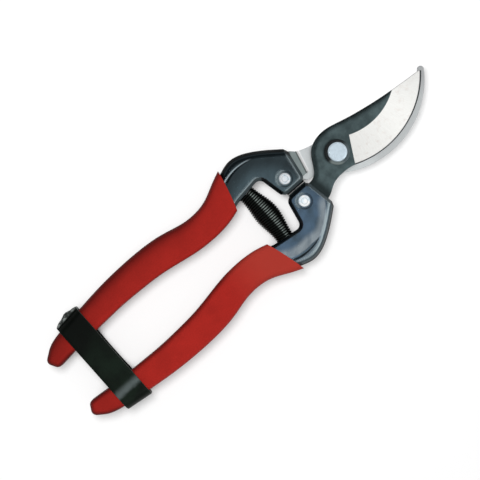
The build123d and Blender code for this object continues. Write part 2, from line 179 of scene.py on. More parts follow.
class Finish:
    """A node material, or the world, written from the surface up."""

    def __init__(self, owner):
        owner.use_nodes = True
        self.owner, self.tree = owner, owner.node_tree
        self.tree.nodes.clear()

    def node(self, kind, settings=None, inputs=None, output=0):
        """One node: its settings first, then the values or links of its sockets."""
        made = self.tree.nodes.new(kind)
        for key, value in (settings or {}).items():
            if key == "stops":
                ramp = made.color_ramp.elements
                while len(ramp) < len(value):
                    ramp.new(1.0)
                for stop, (place, colour) in zip(ramp, value):
                    stop.position, stop.color = place, (*colour[:3], 1)
            else:
                setattr(made, key, value)
        for key, value in (inputs or {}).items():
            if isinstance(value, Socket):
                self.tree.links.new(value.out, made.inputs[key])
            elif value is not None:
                made.inputs[key].default_value = value
        return Socket(self, made.outputs[output]) if len(made.outputs) else None

    def place(self):
        """Where the surface is, in millimetres."""
        where = self.node("ShaderNodeTexCoord", output="Object")
        return self.node("ShaderNodeVectorMath", {"operation": "SCALE"}, {0: where, "Scale": 1 / MM})

    def split(self, vector):
        made = self.node("ShaderNodeSeparateXYZ", inputs={0: vector}).out.node
        return [Socket(self, out) for out in made.outputs]

    def join(self, x, y, z):
        return self.node("ShaderNodeCombineXYZ", inputs={0: x, 1: y, 2: z})

    def noise(self, where, size, detail=2.0, rough=0.5):
        """Soft noise whose lumps are about this many millimetres."""
        return self.node("ShaderNodeTexNoise", inputs={
            "Vector": where, "Scale": 1.0 / size, "Detail": detail, "Roughness": rough})

    def ease(self, value, low, high, start=0.0, end=1.0):
        """Goes smoothly from start to end as the value goes from low to high."""
        return self.node("ShaderNodeMapRange", {"interpolation_type": "SMOOTHSTEP"}, {
            "Value": value, "From Min": low, "From Max": high, "To Min": start, "To Max": end})

    def fade(self, value, low, high):
        """Goes smoothly from 1 to 0 as the value goes from low to high."""
        return self.ease(value, low, high, 1.0, 0.0)

    def strip(self, value, rise, fall):
        """1 between two places, coming in over the first pair of values and going out over the second."""
        return self.ease(value, *rise) * self.fade(value, *fall)

    def ramp(self, value, stops):
        """A level read off a ramp of places from 0 to 1 and their levels."""
        colours = [(place, (level,) * 3) for place, level in stops]
        read = self.node("ShaderNodeValToRGB", {"stops": colours}, {"Fac": value})
        return self.node("ShaderNodeRGBToBW", inputs={0: read})

    def blend(self, share, a, b):
        """A colour between two."""
        pick = [c if isinstance(c, Socket) else (*c[:3], 1) for c in (a, b)]
        return self.node("ShaderNodeMix", {"data_type": "RGBA"}, {0: share, 6: pick[0], 7: pick[1]}, 2)

    def bump(self, height, depth, strength=1.0, base=None):
        return self.node("ShaderNodeBump", inputs={
            "Height": height, "Distance": depth * MM, "Strength": strength, "Normal": base})

    def rounded(self, radius):
        """A normal as if the edges were rounded off."""
        return self.node("ShaderNodeBevel", {"samples": 6}, {"Radius": radius * MM})

    def soft_edge(self, radius, full=0.75):
        """A rounded normal, and a mask of where it leans from the true one."""
        soft = self.rounded(radius)
        true = self.node("ShaderNodeNewGeometry", output="Normal")
        same = self.node("ShaderNodeVectorMath", {"operation": "DOT_PRODUCT"}, {0: soft, 1: true}, "Value")
        return soft, self.fade(same, full, 0.5 + full / 2)

    def facing_up(self):
        """How far the surface faces up: 1 on a top face, 0 on a side, -1 underneath."""
        return self.split(self.node("ShaderNodeNewGeometry", output="Normal"))[2]

    def size_of(self, value):
        """A value without its sign."""
        return self.node("ShaderNodeMath", {"operation": "ABSOLUTE"}, {0: value})

    def out_from(self, x, y, centre):
        """How far a place is from an upright axis."""
        east, north = x - centre[0], y - centre[1]
        return (east * east + north * north) ** 0.5

    def beside_line(self, x, y, start, end):
        """How far a place is to the right of a line."""
        run = (Vector(end) - Vector(start)).normalized()
        return (x - start[0]) * run.y - (y - start[1]) * run.x

    def outside_arc(self, x, y, a, b, c):
        """How far a place is outside the arc through three points."""
        a, b, c = (Vector(v) for v in (a, b, c))
        turn = 2 * ((b - a).x * (c - a).y - (b - a).y * (c - a).x)
        p, q = (b - a).length_squared, (c - a).length_squared
        mid = a + Vector(((c - a).y * p - (b - a).y * q, (b - a).x * q - (c - a).x * p)) / turn
        return self.out_from(x, y, mid) - (a - mid).length

    def surface(self, **sockets):
        """The Principled surface and the output, with sockets named by their words."""
        body = self.node("ShaderNodeBsdfPrincipled", inputs={
            key.replace("_", " ").title().replace("Ior", "IOR"): value for key, value in sockets.items()})
        self.node("ShaderNodeOutputMaterial", inputs={"Surface": body})
        return self.owner


def finish(name):
    return Finish(bpy.data.materials.new(name))


def toned(colour, share):
    """A colour made darker or lighter."""
    return [part * share for part in colour]


def dress(material, *names):
    """Gives CAD nodes this material."""
    for name in names:
        slots = NODES[name].material_slots
        for slot in slots:
            slot.link = "OBJECT"
            slot.material = material
        if not slots:
            NODES[name].data.materials.append(material)


def new_piece(name, mesh, material, body, stands_for):
    """A made mesh that takes the place of a CAD node and, where a body is given, moves with it."""
    for face in mesh.polygons:
        face.use_smooth = True
    piece = bpy.data.objects.new(name, mesh)
    bpy.context.scene.collection.objects.link(piece)
    mesh.materials.append(material)
    if body:
        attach(piece, body)
    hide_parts(stands_for)
    return piece


class ShearsColours(bpy.types.PropertyGroup):
    grip_red: bpy.props.FloatVectorProperty(
        name="Grip red", description="Dipped vinyl of the grips", subtype="COLOR",
        default=(0.355, 0.017, 0.012), min=0, max=1)
    enamel: bpy.props.FloatVectorProperty(
        name="Handle enamel", description="Blue-black enamel of the handles", subtype="COLOR",
        default=(0.085, 0.135, 0.160), min=0, max=1)
    blade_dark: bpy.props.FloatVectorProperty(
        name="Blade body", description="Dark treated steel of the cutting blade", subtype="COLOR",
        default=(0.134, 0.190, 0.198), min=0, max=1)
    ground_steel: bpy.props.FloatVectorProperty(
        name="Ground steel", description="Bright bevel of the cutting blade", subtype="COLOR",
        default=(0.935, 0.935, 0.91), min=0, max=1)
    plating: bpy.props.FloatVectorProperty(
        name="Plating", description="Rivets, pivot bolt and posts", subtype="COLOR",
        default=(0.76, 0.90, 1.0), min=0, max=1)
    # The spring's colour is a painted highlight on the tops of the wire's turns.
    spring_black: bpy.props.FloatVectorProperty(
        name="Spring", description="Rubbed tops of the black spring wire", subtype="COLOR",
        default=(0.26, 0.31, 0.29), min=0, max=1)
    leather: bpy.props.FloatVectorProperty(
        name="Leather", description="Black leather of the strap", subtype="COLOR",
        default=(0.004, 0.008, 0.005), min=0, max=1)


class ShearsSizes(bpy.types.PropertyGroup):
    wire: bpy.props.FloatProperty(
        name="Spring wire", description="Diameter of the spring wire in millimetres",
        default=0.98, min=0.4, max=1.05)
    turns: bpy.props.IntProperty(
        name="Spring turns", description="Turns of the wire, ground ends included",
        default=24, min=18, max=25)
    strap_thickness: bpy.props.FloatProperty(
        name="Strap thickness", description="Leather thickness in millimetres",
        default=1.36, min=1.0, max=1.4)
    strap_corner: bpy.props.FloatProperty(
        name="Strap turn", description="Radius of the strap's turns in millimetres",
        default=3.8, min=3.0, max=5.0)


class ShearsLight(bpy.types.PropertyGroup):
    sky: bpy.props.FloatProperty(
        name="Sky", description="Even light from all round", default=0.34, min=0, max=2)
    key: bpy.props.FloatProperty(
        name="Key lamp", description="Broad soft lamp overhead", default=4.0, min=0, max=50, unit="POWER")
    cards: bpy.props.FloatProperty(
        name="Cards", description="Brightness of the cards that metal and enamel mirror",
        default=1.0, min=0, max=4)


class ShearsSettings(bpy.types.PropertyGroup):
    colours: bpy.props.PointerProperty(type=ShearsColours)
    sizes: bpy.props.PointerProperty(type=ShearsSizes)
    light: bpy.props.PointerProperty(type=ShearsLight)


def settings():
    return bpy.context.scene.shears


def cutting_blade_finish():
    """Dark body, with painted shade along its back and on its steep sides, and painted shadows beside the
    handle and round the washer; a bright stained bevel with grinding lines that run out from the middle of
    the edge's circle, a thin line of painted shade along the edge, a ground underside."""
    c = settings().colours
    f = finish("blade_steel")
    where = f.place()
    x, y, z = f.split(where)
    cloud = f.noise(where, 7.0, 4.0, 0.6)
    speck = f.noise(where, 0.7, 2.0, 0.6)
    stain = f.noise(where, 2.4, 4.0, 0.7)
    reach = f.out_from(x, y, EDGE_CENTRE)
    angle = f.node("ShaderNodeMath", {"operation": "ARCTAN2"}, {0: y - EDGE_CENTRE[1], 1: x - EDGE_CENTRE[0]})
    lines = f.noise(f.join(angle * 130.0, reach * 0.22, 0.0), 1.0, 3.0, 0.6)

    body = f.blend(f.ease(cloud, 0.3, 0.7), toned(c.blade_dark, 0.60), toned(c.blade_dark, 1.16))
    # Painted shade along the back: edges that lean towards the hook's side and the rear are blackened.
    lean_x, lean_y, _ = f.split(f.rounded(4.2))
    back = f.ease(lean_y - lean_x * 0.6, 0.03, 0.36)
    body = f.blend(back * 0.96, body, toned(c.blade_dark, 0.02))
    # Painted shadow of the blade's handle on the blade beside it.
    handle_shadow = f.ease(f.beside_line(x, y, *LOBE_FRONT), 1.6, 5.0, 0.9, 0.0)
    body = f.blend(handle_shadow, body, toned(c.blade_dark, 0.2))
    # Painted shadow of the washer and bolt on the blade, on the side towards the hook and the rear.
    out = f.out_from(x, y, PIVOT)
    washer_shadow = f.fade(out, 5.2, 6.6) * f.ease((y - x * 0.7) / out, 0.1, 0.9)
    body = f.blend(washer_shadow * 0.8, body, toned(c.blade_dark, 0.12))
    # Painted shade on the steep sides.
    facing = f.facing_up()
    body = f.blend(f.fade(facing * facing, 0.25, 0.75), body, toned(c.blade_dark, 0.06))

    bevel = (f.ease(f.out_from(x, y, GRIND_CENTRE), GRIND_RADIUS + 0.05, GRIND_RADIUS + 0.25)
             * f.ease(f.beside_line(x, y, HEEL, HEEL_TOP), 0.02, 0.12) * f.ease(z, MID + 0.02, MID + 0.12))
    under = f.strip(z, (MID, MID + 0.02), (MID + 0.06, MID + 0.10))
    # Painted shade in a thin line along the cutting edge.
    edge = f.ease(reach, EDGE_RADIUS - 0.60, EDGE_RADIUS - 0.35) * bevel
    bright = f.blend(f.ease(lines, 0.35, 0.75), toned(c.ground_steel, 0.90), toned(c.ground_steel, 0.97))
    bright = f.blend(f.ease(stain, 0.50, 0.72) * 0.45, bright, BEVEL_STAIN)
    bright = f.blend(edge, bright, EDGE_SHADE)

    shine = bevel | under
    rough = 0.42 + (speck - 0.5) * 0.14 - shine * 0.08 + (lines - 0.5) * shine * 0.10
    height = speck * (1.0 - shine) * 0.5 + lines * shine
    return f.surface(base_color=f.blend(shine, body, bright), metallic=0.95, roughness=rough,
                     normal=f.bump(height, 0.010, 0.5, f.rounded(0.4)))


def counter_blade_finish():
    """Bright steel with fine lines along the hook, duller from its root to its tip, with a grey shoulder, a
    line of painted shade along the lap step and a painted highlight at its foot, painted shade on its rims,
    and black painted shade over the tang's stop."""
    f = finish("bright_steel")
    where = f.place()
    x, y, z = f.split(where)
    along = f.noise(f.join(f.out_from(x, y, EDGE_CENTRE) * 5.0, 0.0, 0.0), 1.0, 3.0, 0.6)
    rub = f.noise(where, 3.5, 4.0, 0.65)
    soft, rim = f.soft_edge(0.4)
    base = f.blend(f.ease(along * 0.6 + rub * 0.5, 0.35, 0.75), HOOK_SOFT, HOOK_BRIGHT)
    base = f.blend(f.ease(x, *HOOK_ROOT, 0.0, 0.55) + f.ease(x, *HOOK_TIP, 0.0, 0.45), base, HOOK_DULL)
    raised = f.ease(z, MID + 0.4, MID + 0.8)
    base = f.blend(raised, base, f.blend(rub, SHOULDER_DARK, SHOULDER_LIGHT))
    # Painted shade in a line along the lap step, and a painted highlight at its foot.
    past = f.beside_line(x, y, *STEP)
    line = raised * f.strip(past, (-1.15, -0.90), (-0.70, -0.45))
    base = f.blend(line, base, STEP_SHADE)
    foot = f.strip(past, (-0.65, -0.40), (0.45, 1.0)) * f.ease(y, *STEP_END)
    base = f.blend(foot * 0.9, base, WHITE)
    # Painted shade on the rims.
    base = f.blend(rim * (1.0 - foot) * 0.6, base, HOOK_RIM_SHADE)
    # Painted shade, in black, over the tang's stop where it shows in the gap between the handles.
    stop = f.fade(x, *STOP_X) * f.fade(y, *STOP_Y)
    base = f.blend(stop, base, BLACKENED_AND_SHADE)
    return f.surface(base_color=base, metallic=0.78 - foot * 0.6,
                     roughness=0.36 + (rub - 0.5) * 0.2 + line * 0.2,
                     normal=f.bump(along, 0.008, 0.4, soft))


def enamel_finish():
    """Glossy blue-black finish over wavy pressed sheet. Painted shade darkens the hook's side towards its
    folded back, and painted light makes the blade's side lighter and bluer, with painted sheen on both sides
    of its crease. The crease itself has a painted highlight on the hook's side and painted shade on the
    blade's. Rims and steep sides are in painted shade, and rims that face the front or the near side get
    painted highlights and a painted glint line."""
    c = settings().colours
    f = finish("handle_enamel")
    where = f.place()
    x, y, z = f.split(where)
    cloud = f.noise(where, 8.0, 3.0, 0.55)
    wave = f.noise(f.join(x * 0.6 + y * 0.5, y * 1.2 - x * 0.9, z), 7.0, 1.0, 0.4)
    streak = f.noise(f.join(x * 0.9 - y * 0.9, (x + y) * 0.25, z), 4.0, 3.0, 0.5)
    peel = f.noise(where, 0.9, 1.0, 0.4)
    facing = f.facing_up()
    hook_side = f.ease(y, *SIDES)
    blade_side = 1.0 - hook_side
    top = f.ease(z, MID + 1.0, MID + 3.0)
    ahead = f.ease(x, *HANDLE_BEND)
    past = f.outside_arc(x, f.size_of(y), *CREASE) + blade_side * 0.4

    # The sheet's faces, with painted light, shade and sheen, and the crease pressed in them.
    # Painted light: the blade's side is a lighter, bluer copy of the enamel.
    bluer = [part * share for part, share in zip(c.enamel, (1.15, 1.25, 1.6))]
    base = f.blend(f.ease(cloud, 0.3, 0.7, 0.0, 0.75 - hook_side * 0.4), f.blend(hook_side, bluer, c.enamel),
                   toned(c.enamel, 0.5))
    shade = f.ease(past, -8.0, -1.5, 0.0, 0.92) * hook_side
    base = f.blend(shade, base, toned(c.enamel, 0.30))
    # Painted sheen on the blade's side inside its crease, and a painted band of sheen outside it.
    crown = (f.ease(past - ahead * 2.2, -5.6, -2.6) * f.fade(past - ahead * 1.6, -1.0, -0.2)
             * f.ease(f.size_of(y), 8.0, 13.0) * blade_side * top)
    crown = crown * f.ease(streak, 0.25, 0.60, 0.55, 1.0) * (1.0 - ahead * 0.15)
    base = f.blend(crown, base, CROWN_SHEEN)
    back = f.strip(past, (0.7, 1.1), (2.0, 3.0)) * (1.0 - ahead) * blade_side * top
    base = f.blend(back * 0.55, base, BACK_SHEEN)
    # The crease: a painted highlight on the hook's side, painted shade in it on the blade's side.
    press = f.strip(past, (0.05, 0.25), (0.50, 0.80)) * f.fade(x, *CREASE_END) * top
    base = f.blend(press * 0.85, base, f.blend(hook_side, toned(c.enamel, 0.12), CREASE_SHEEN))

    # The rims and the steep sides below them, in painted shade; rims that face the front or the near side get
    # painted highlights.
    soft, rim = f.soft_edge(0.5, 0.93)
    rim = rim | f.fade(facing, 0.80, 0.90)
    lean_x, lean_y, _ = f.split(f.rounded(1.9))
    toward = lean_x * 0.7 - lean_y
    highlight = f.ease(toward, 0.02, 0.12)
    base = f.blend(rim * 0.95, base, f.blend(highlight, toned(c.enamel, 0.05), RIM_HIGHLIGHT))
    # A painted glint line on the top faces beside rims that face the front or the near side.
    line = f.ease(toward, 0.15, 0.28) * f.ease(facing, 0.85, 0.95) * f.ease(z, MID + 4.0, MID + 4.5)
    base = f.blend(line * 0.9, base, RIM_GLINT)
    lit_marks = (rim * highlight) | line
    # Painted shade on the steep sides and on the slopes of the hook's folded back.
    fold = f.ease(past, 1.2, 2.4) * top * hook_side
    steep = f.fade(facing, 0.48, 0.64) | (f.fade(facing, 0.60, 0.90) * fold)
    base = f.blend(steep, base, toned(c.enamel, 0.03))
    return f.surface(base_color=base, metallic=0.92 - lit_marks * 0.75,
                     roughness=0.24 + (cloud - 0.5) * 0.12 + steep * 0.4,
                     coat_weight=0.3 - steep * 0.3, coat_roughness=0.08,
                     normal=f.bump(wave * 0.22 + peel * 0.005, 1.0, 0.6, soft))


def inside_grip(f, x, y):
    """How far a place lies inside its grip's outer edge."""
    start, end = GRIP_BACK[0][0], GRIP_BACK[-1][0]
    stops = [((place - start) / (end - start), edge / GRIP_WIDEST) for place, edge in GRIP_BACK]
    return f.ramp((x - start) / (end - start), stops) * GRIP_WIDEST - f.size_of(y)


def vinyl_finish():
    """Matte dipped vinyl with a fine grain and a slow drift of colour. Painted shade darkens the hook's grip
    towards its outer edge and rear, sides that lean towards the hook's side, the undersides and the rear
    tips, most of all round the tips' rims; painted light lifts sides that lean the other way, and the blade's
    grip is lighter at its front."""
    red = settings().colours.grip_red
    f = finish("red_vinyl")
    where = f.place()
    x, y, _ = f.split(where)
    grain = f.noise(where, 0.55, 3.0, 0.65)
    drift = f.noise(where, 9.0, 3.0, 0.55)
    hook_side = f.ease(y, *SIDES)
    base = f.blend(f.ease(grain * 0.6 + drift * 0.6, 0.38, 0.82), toned(red, 0.86), toned(red, 1.12))
    # Painted shade on the hook's grip, deepest at its outer edge and towards its rear.
    inward = inside_grip(f, x, y)
    hook_shade = hook_side * f.ease(x, *GRIP_FLARE, 1.0, 0.4)
    base = f.blend(f.ease(inward, 1.0, 11.0, 0.36, 0.11) * hook_shade, base, toned(red, 0.12))
    base = f.blend(f.ease(inward, 0.0, 5.5, 0.62, 0.0) * hook_shade, base, toned(red, 0.12))
    # Painted shade on sides that lean towards the hook's side, painted light on sides that lean the other
    # way.
    lean = f.split(f.rounded(3.6))[1]
    base = f.blend(f.ease(lean, 0.10, 0.70, 0.0, 0.80), base, toned(red, 0.18))
    base = f.blend(f.ease(lean, -0.70, -0.20, 0.85, 0.0), base, toned(red, 1.3))
    front = f.ease(x, *GRIP_FRONT, 0.0, 0.8) * (1.0 - hook_side)
    base = f.blend(front, base, GRIP_FRONT_RED)
    # Painted shade on the undersides.
    under = f.ease(f.facing_up(), -0.3, 0.2, 0.45, 0.0)
    base = f.blend(under, base, toned(red, 0.35))
    # Painted shade at the rear tips, deepest round their rims.
    tip = f.fade(x, *GRIP_TIP)
    base = f.blend(tip * 0.42, base, toned(red, 0.45))
    rim = f.ease(f.split(f.rounded(3.2))[2], 0.72, 0.97, 0.72, 0.0)
    base = f.blend(tip * rim, base, toned(red, 0.14))
    return f.surface(base_color=base, roughness=0.55 + (grain - 0.5) * 0.25, specular_ior_level=0.16,
                     normal=f.bump(grain, 0.055, 0.6))


def plated_finish():
    """Bright plating, faintly scratched."""
    plating = settings().colours.plating
    f = finish("plated_steel")
    where = f.place()
    x, y, z = f.split(where)
    scratch = f.noise(f.join(x * 6.0 + y * 2.5, y * 0.7, z), 1.0, 3.0, 0.6)
    haze = f.noise(where, 2.0, 3.0, 0.6)
    base = f.blend(f.ease(haze, 0.3, 0.7), toned(plating, 0.86), plating)
    return f.surface(base_color=base, metallic=0.55, roughness=0.24 + (scratch - 0.5) * 0.18,
                     normal=f.bump(scratch, 0.004, 0.4))


def rivet_finish():
    """Bright rivets with a peened ring round the middle of each head, whiter on the blade's side."""
    plating = settings().colours.plating
    f = finish("rivet_steel")
    where = f.place()
    x, y, _ = f.split(where)
    out = f.out_from(x, f.size_of(y), RIVET)
    ring = f.strip(out, (0.95, 1.25), (1.35, 1.75))
    haze = f.noise(where, 1.3, 3.0, 0.6)
    base = f.blend(f.ease(haze, 0.3, 0.7), toned(plating, 0.92), WHITE)
    base = f.blend(ring * 0.45, base, toned(plating, 0.45))
    return f.surface(base_color=base, metallic=f.ease(y, *SIDES, 0.12, 0.5),
                     roughness=0.30 + (haze - 0.5) * 0.2, normal=f.bump(haze * 0.2 - ring, 0.03, 0.5))


def dark_washer_finish():
    """Blackened steel, with painted light on the blade's side and a painted glint at the rear of that side.
    """
    f = finish("dark_washer")
    where = f.place()
    x, y, _ = f.split(where)
    haze = f.noise(where, 1.2, 3.0, 0.6)
    out = f.out_from(x, y, PIVOT)
    base = f.blend(haze, BLACKENED_AND_SHADE, WASHER_HAZE)
    # Painted light on the side away from the hook, and a painted glint at its rear.
    base = f.blend(f.fade((y * 0.94 - x * 0.34) / out, -0.55, 0.15), base, WASHER_LIT_SIDE)
    base = f.blend(f.ease((x * -0.71 - y * 0.71) / out, 0.72, 0.95), base, WASHER_GLINT)
    return f.surface(base_color=base, metallic=0.5, roughness=0.34 + (haze - 0.5) * 0.2)


def spring_finish():
    """Black oiled wire, with a painted highlight on the tops of its turns in a strip beside the seats'
    middle.
    """
    f = finish("spring_black")
    where = f.place()
    x, _, z = f.split(where)
    rub = f.noise(where, 1.1, 3.0, 0.6)
    seat = SEAT[0]
    # Painted highlight on the tops of the turns, in a strip beside the seats' middle.
    sheen_and_wear = (f.ease(f.facing_up(), 0.70, 0.92) * f.ease(z, MID + 2.6, MID + 3.6)
            * f.strip(x, (seat + 0.3, seat + 1.3), (seat + 2.7, seat + 3.9)))
    black = f.blend(rub, OIL_DARK, OIL_LIGHT)
    base = f.blend(sheen_and_wear * f.ease(rub, 0.30, 0.55, 0.5, 1.0), black, settings().colours.spring_black)
    return f.surface(base_color=base, metallic=0.9, roughness=0.30 + (rub - 0.5) * 0.2)


def leather_finish():
    """Smooth black leather: fine pores, slow creases, painted shade deepening towards the hook's side, a
    painted highlight band where it turns down over the blade's grip, a paler cut edge in front, and a
    crumpled lap greyed by wear and painted highlights."""
    leather = settings().colours.leather
    f = finish("black_leather")
    where = f.place()
    x, y, z = f.split(where)
    pores = f.node("ShaderNodeTexVoronoi", {"feature": "F1"}, {"Vector": where, "Scale": 2.6})
    crease = f.noise(where, 2.6, 4.0, 0.6)
    crumple = f.noise(where, 1.3, 3.0, 0.6)
    tone = f.noise(where, 7.0, 3.0, 0.55)
    base = f.blend(f.ease(tone, 0.3, 0.7), toned(leather, 0.6), toned(leather, 1.5))
    # Painted shade, darker towards the hook's side.
    base = f.blend(f.ease(y, -4.0, 16.0, 0.0, 0.85), base, toned(leather, 0.1))
    # A painted highlight band where the strap turns down over the blade's grip.
    highlight = f.strip(y + crease * 1.5, (-17.2, -15.0), (-14.9, -11.8)) * f.ease(z, MID + 5.0, MID + 7.0)
    base = f.blend(highlight * (0.45 + tone * 0.5), base, LEATHER_HIGHLIGHT)
    cut = f.ease(x, STRAP_FRONT - 0.28, STRAP_FRONT - 0.1)
    base = f.blend(cut * 0.6, base, LEATHER_CUT)
    # The lap greyed by wear, lightened further by painted highlights on its lumps.
    flank = y - STRAP_REAR_Y - (x - STRAP_REAR) * STRAP_SPLAY
    sheen_and_wear = f.ease(flank, -0.7, 0.1) * f.ease(flank, 0.6, 1.3, 1.0, 0.35)
    sheen_and_wear = sheen_and_wear * f.ease(crease * 0.5 + crumple * 0.5, 0.40, 0.60, 0.12, 1.0)
    base = f.blend(sheen_and_wear * 0.9, base, LEATHER_WEAR_AND_SHEEN)
    return f.surface(base_color=base, roughness=0.46 + (tone - 0.5) * 0.22, specular_ior_level=0.14,
                     normal=f.bump(pores * 0.5 + crease * 0.7, 0.045, 0.5))


class SHEARS_OT_blades(bpy.types.Operator):
    """Finish the cutting blade and the counter blade"""
    bl_idname = "shears.blades"
    bl_label = "Blades"

    def execute(self, context):
        dress(cutting_blade_finish(), "cutting_blade")
        dress(counter_blade_finish(), "counter_blade")
        return {"FINISHED"}


class SHEARS_OT_handles(bpy.types.Operator):
    """Finish the enamelled channel handles"""
    bl_idname = "shears.handles"
    bl_label = "Handles"

    def execute(self, context):
        dress(enamel_finish(), "hook_handle", "blade_handle")
        return {"FINISHED"}


class SHEARS_OT_grips(bpy.types.Operator):
    """Finish the dipped grips"""
    bl_idname = "shears.grips"
    bl_label = "Grips"

    def execute(self, context):
        dress(vinyl_finish(), "hook_grip", "blade_grip")
        return {"FINISHED"}


class SHEARS_OT_fasteners(bpy.types.Operator):
    """Finish the pivot, the rivets and the spring posts"""
    bl_idname = "shears.fasteners"
    bl_label = "Fasteners"

    def execute(self, context):
        dress(plated_finish(), "pivot_bolt", "pivot_nut", "hook_spring_post", "blade_spring_post",
              "strap_rivet", "strap_rivet_washer")
        dress(rivet_finish(), "hook_rivet", "blade_rivet")
        dress(dark_washer_finish(), "pivot_washer", "pivot_lock_washer")
        return {"FINISHED"}


def tube(name, line, radius, sides):
    """A closed tube along a line of points, its rings carried along without twist."""
    bm = bmesh.new()
    angles = [2 * math.pi * k / sides for k in range(sides)]
    rings = []
    side = None
    for i, point in enumerate(line):
        ahead = (line[min(i + 1, len(line) - 1)] - line[max(i - 1, 0)]).normalized()
        if side is None:
            side = ahead.orthogonal()
        side = (side - ahead * side.dot(ahead)).normalized()
        up = ahead.cross(side)
        rings.append([bm.verts.new(point + (side * math.cos(a) + up * math.sin(a)) * radius) for a in angles])
    for a, b in zip(rings, rings[1:]):
        for k in range(sides):
            n = (k + 1) % sides
            bm.faces.new((a[k], a[n], b[n], b[k]))
    bm.faces.new(reversed(rings[0]))
    bm.faces.new(rings[-1])
    mesh = bpy.data.meshes.new(name)
    bm.to_mesh(mesh)
    bm.free()
    return mesh


class SHEARS_OT_spring(bpy.types.Operator):
    """Wind the barrel return spring between its two seats"""
    bl_idname = "shears.spring"
    bl_label = "Return spring"

    end_radius: bpy.props.FloatProperty(
        name="End radius", description="Middle of the wire at the ends, in millimetres", default=3.38)
    barrel_radius: bpy.props.FloatProperty(
        name="Barrel radius", description="Middle of the wire in the barrel, in millimetres", default=4.93)
    steps: bpy.props.IntProperty(
        name="Steps", description="Points of the wire's line in one turn", default=28, min=8)
    sides: bpy.props.IntProperty(
        name="Sides", description="Sides of the wire", default=10, min=6)
    ground: bpy.props.FloatProperty(
        name="Ground", description="Share of the wire's diameter ground off each end", subtype="FACTOR",
        default=0.2, min=0, max=0.5)

    def execute(self, context):
        """Winds the wire straight, grinds its ends flat, then bends it to stand square on both seats."""
        sizes = settings().sizes
        wire, turns = sizes.wire, sizes.turns
        bow = SEAT[1] / math.sin(SEAT_TILT)
        bow_x = SEAT[0] - bow * math.cos(SEAT_TILT)
        half = bow * SEAT_TILT - SEAT_GAP
        pitch = (2 * half + 2 * self.ground * wire) / turns
        swell = self.barrel_radius - self.end_radius
        line = []
        for i in range(turns * self.steps + 1):
            turn = i / self.steps
            run = turn * pitch - half - self.ground * wire
            radius = self.end_radius + swell * math.cos(math.pi / 2 * run / half) ** 2
            angle = 2 * math.pi * turn
            line.append(Vector((radius * math.cos(angle), run, radius * math.sin(angle))))
        mesh = tube("return_spring_wire", line, wire / 2, self.sides)
        for corner in mesh.vertices:
            across, run, up = corner.co
            tilt = max(-half, min(half, run)) / bow
            reach = bow + across
            corner.co = Vector((bow_x + reach * math.cos(tilt), reach * math.sin(tilt), MID + up)) * MM
        piece = new_piece("return_spring_wire", mesh, spring_finish(), None, "return_spring")
        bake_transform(piece)
        return {"FINISHED"}


def loop_point(t, half_y, half_z, corner):
    """A point on a round-cornered loop in the YZ plane, t from 0 to 1, from the middle of the top run. It is
    walked clockwise in the complex plane, Y real and Z imaginary."""
    flat_y, flat_z, arc = half_y - corner, half_z - corner, math.pi / 2 * corner
    left = t * 4 * (flat_y + flat_z + arc)
    at, heading = complex(0, half_z), complex(1, 0)
    for run in (flat_y, 2 * flat_z, 2 * flat_y, 2 * flat_z, flat_y):
        if left <= run:
            at += heading * left
            break
        at += heading * run
        left -= run
        turn = min(left, arc) / corner
        at += heading * corner * complex(math.sin(turn), math.cos(turn) - 1)
        if left <= arc:
            break
        left -= arc
        heading *= -1j
    return at.real, at.imag


